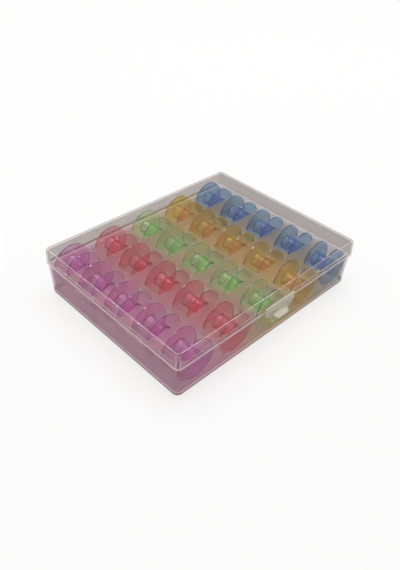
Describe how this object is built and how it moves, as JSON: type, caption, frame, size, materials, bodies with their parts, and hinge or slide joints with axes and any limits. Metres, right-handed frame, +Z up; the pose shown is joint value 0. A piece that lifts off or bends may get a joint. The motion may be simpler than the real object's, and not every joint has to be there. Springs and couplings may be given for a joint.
{
  "type": "sewing bobbin storage box",
  "caption": "Shallow hinged storage box with a snap latch and a well insert that holds rows of flanged sewing-machine bobbins upright under a clear lid.",
  "frame": {"origin": "on the table under the middle of the lid, on the tray's underside", "axes": "+X along the case, +Y towards the hinge (the latch is on -Y), +Z up"},
  "size_m": [0.1258, 0.1034, 0.0274],
  "materials": {
    "tray_plastic": "translucent polypropylene, lightly frosted",
    "insert_plastic": "translucent polypropylene",
    "lid_plastic": "clear polypropylene with a slight haze",
    "latch_plastic": "frosted polypropylene",
    "purple_plastic": "transparent purple tinted plastic",
    "pink_plastic": "transparent pink tinted plastic",
    "green_plastic": "transparent green tinted plastic",
    "amber_plastic": "transparent amber tinted plastic",
    "blue_plastic": "transparent blue tinted plastic"
  },
  "bodies": {
    "case": {"base_tray": "tray_plastic", "bobbin_insert": "insert_plastic", "hinge_web": "tray_plastic"},
    "lid": {"lid": "lid_plastic", "latch_pad": "latch_plastic"},
    "latch": {"latch_tab": "latch_plastic"},
    "bobbin_purple_1": {"bobbin_purple_1": "purple_plastic"},
    "bobbin_purple_2": {"bobbin_purple_2": "purple_plastic"},
    "bobbin_purple_3": {"bobbin_purple_3": "purple_plastic"},
    "bobbin_purple_4": {"bobbin_purple_4": "purple_plastic"},
    "bobbin_purple_5": {"bobbin_purple_5": "purple_plastic"},
    "bobbin_pink_1": {"bobbin_pink_1": "pink_plastic"},
    "bobbin_pink_2": {"bobbin_pink_2": "pink_plastic"},
    "bobbin_pink_3": {"bobbin_pink_3": "pink_plastic"},
    "bobbin_pink_4": {"bobbin_pink_4": "pink_plastic"},
    "bobbin_pink_5": {"bobbin_pink_5": "pink_plastic"},
    "bobbin_green_1": {"bobbin_green_1": "green_plastic"},
    "bobbin_green_2": {"bobbin_green_2": "green_plastic"},
    "bobbin_green_3": {"bobbin_green_3": "green_plastic"},
    "bobbin_green_4": {"bobbin_green_4": "green_plastic"},
    "bobbin_green_5": {"bobbin_green_5": "green_plastic"},
    "bobbin_amber_1": {"bobbin_amber_1": "amber_plastic"},
    "bobbin_amber_2": {"bobbin_amber_2": "amber_plastic"},
    "bobbin_amber_3": {"bobbin_amber_3": "amber_plastic"},
    "bobbin_amber_4": {"bobbin_amber_4": "amber_plastic"},
    "bobbin_amber_5": {"bobbin_amber_5": "amber_plastic"},
    "bobbin_blue_1": {"bobbin_blue_1": "blue_plastic"},
    "bobbin_blue_2": {"bobbin_blue_2": "blue_plastic"},
    "bobbin_blue_3": {"bobbin_blue_3": "blue_plastic"},
    "bobbin_blue_4": {"bobbin_blue_4": "blue_plastic"},
    "bobbin_blue_5": {"bobbin_blue_5": "blue_plastic"}
  },
  "joints": [
    {"name": "lid_hinge", "type": "hinge", "parent": "case", "child": "lid", "pos_m": [0, 0.04986, 0.0183], "axis": [-1, 0, 0], "range_deg": [0, 180], "deforming": ["hinge_web"]},
    {"name": "latch_flex", "type": "hinge", "parent": "lid", "child": "latch", "pos_m": [0.0019, -0.05044, 0.0184], "axis": [-1, 0, 0], "range_deg": [0, 12], "stiffness_Nm_per_rad": 0.6},
    {"name": "purple_1_spin", "type": "hinge", "parent": "case", "child": "bobbin_purple_1", "pos_m": [-0.0492, 0.0413, 0.0143], "axis": [0, 1, 0], "continuous": true},
    {"name": "purple_2_spin", "type": "hinge", "parent": "case", "child": "bobbin_purple_2", "pos_m": [-0.0492, 0.0208, 0.0143], "axis": [0, 1, 0], "continuous": true},
    {"name": "purple_3_spin", "type": "hinge", "parent": "case", "child": "bobbin_purple_3", "pos_m": [-0.0492, 0.0003, 0.0143], "axis": [0, 1, 0], "continuous": true},
    {"name": "purple_4_spin", "type": "hinge", "parent": "case", "child": "bobbin_purple_4", "pos_m": [-0.0492, -0.0202, 0.0143], "axis": [0, 1, 0], "continuous": true},
    {"name": "purple_5_spin", "type": "hinge", "parent": "case", "child": "bobbin_purple_5", "pos_m": [-0.0492, -0.0407, 0.0143], "axis": [0, 1, 0], "continuous": true},
    {"name": "pink_1_spin", "type": "hinge", "parent": "case", "child": "bobbin_pink_1", "pos_m": [-0.0246, 0.0413, 0.0143], "axis": [0, 1, 0], "continuous": true},
    {"name": "pink_2_spin", "type": "hinge", "parent": "case", "child": "bobbin_pink_2", "pos_m": [-0.0246, 0.0208, 0.0143], "axis": [0, 1, 0], "continuous": true},
    {"name": "pink_3_spin", "type": "hinge", "parent": "case", "child": "bobbin_pink_3", "pos_m": [-0.0246, 0.0003, 0.0143], "axis": [0, 1, 0], "continuous": true},
    {"name": "pink_4_spin", "type": "hinge", "parent": "case", "child": "bobbin_pink_4", "pos_m": [-0.0246, -0.0202, 0.0143], "axis": [0, 1, 0], "continuous": true},
    {"name": "pink_5_spin", "type": "hinge", "parent": "case", "child": "bobbin_pink_5", "pos_m": [-0.0246, -0.0407, 0.0143], "axis": [0, 1, 0], "continuous": true},
    {"name": "green_1_spin", "type": "hinge", "parent": "case", "child": "bobbin_green_1", "pos_m": [0, 0.0413, 0.0143], "axis": [0, 1, 0], "continuous": true},
    {"name": "green_2_spin", "type": "hinge", "parent": "case", "child": "bobbin_green_2", "pos_m": [0, 0.0208, 0.0143], "axis": [0, 1, 0], "continuous": true},
    {"name": "green_3_spin", "type": "hinge", "parent": "case", "child": "bobbin_green_3", "pos_m": [0, 0.0003, 0.0143], "axis": [0, 1, 0], "continuous": true},
    {"name": "green_4_spin", "type": "hinge", "parent": "case", "child": "bobbin_green_4", "pos_m": [0, -0.0202, 0.0143], "axis": [0, 1, 0], "continuous": true},
    {"name": "green_5_spin", "type": "hinge", "parent": "case", "child": "bobbin_green_5", "pos_m": [0, -0.0407, 0.0143], "axis": [0, 1, 0], "continuous": true},
    {"name": "amber_1_spin", "type": "hinge", "parent": "case", "child": "bobbin_amber_1", "pos_m": [0.0246, 0.0413, 0.0143], "axis": [0, 1, 0], "continuous": true},
    {"name": "amber_2_spin", "type": "hinge", "parent": "case", "child": "bobbin_amber_2", "pos_m": [0.0246, 0.0208, 0.0143], "axis": [0, 1, 0], "continuous": true},
    {"name": "amber_3_spin", "type": "hinge", "parent": "case", "child": "bobbin_amber_3", "pos_m": [0.0246, 0.0003, 0.0143], "axis": [0, 1, 0], "continuous": true},
    {"name": "amber_4_spin", "type": "hinge", "parent": "case", "child": "bobbin_amber_4", "pos_m": [0.0246, -0.0202, 0.0143], "axis": [0, 1, 0], "continuous": true},
    {"name": "amber_5_spin", "type": "hinge", "parent": "case", "child": "bobbin_amber_5", "pos_m": [0.0246, -0.0407, 0.0143], "axis": [0, 1, 0], "continuous": true},
    {"name": "blue_1_spin", "type": "hinge", "parent": "case", "child": "bobbin_blue_1", "pos_m": [0.0492, 0.0413, 0.0143], "axis": [0, 1, 0], "continuous": true},
    {"name": "blue_2_spin", "type": "hinge", "parent": "case", "child": "bobbin_blue_2", "pos_m": [0.0492, 0.0208, 0.0143], "axis": [0, 1, 0], "continuous": true},
    {"name": "blue_3_spin", "type": "hinge", "parent": "case", "child": "bobbin_blue_3", "pos_m": [0.0492, 0.0003, 0.0143], "axis": [0, 1, 0], "continuous": true},
    {"name": "blue_4_spin", "type": "hinge", "parent": "case", "child": "bobbin_blue_4", "pos_m": [0.0492, -0.0202, 0.0143], "axis": [0, 1, 0], "continuous": true},
    {"name": "blue_5_spin", "type": "hinge", "parent": "case", "child": "bobbin_blue_5", "pos_m": [0.0492, -0.0407, 0.0143], "axis": [0, 1, 0], "continuous": true}
  ]
}
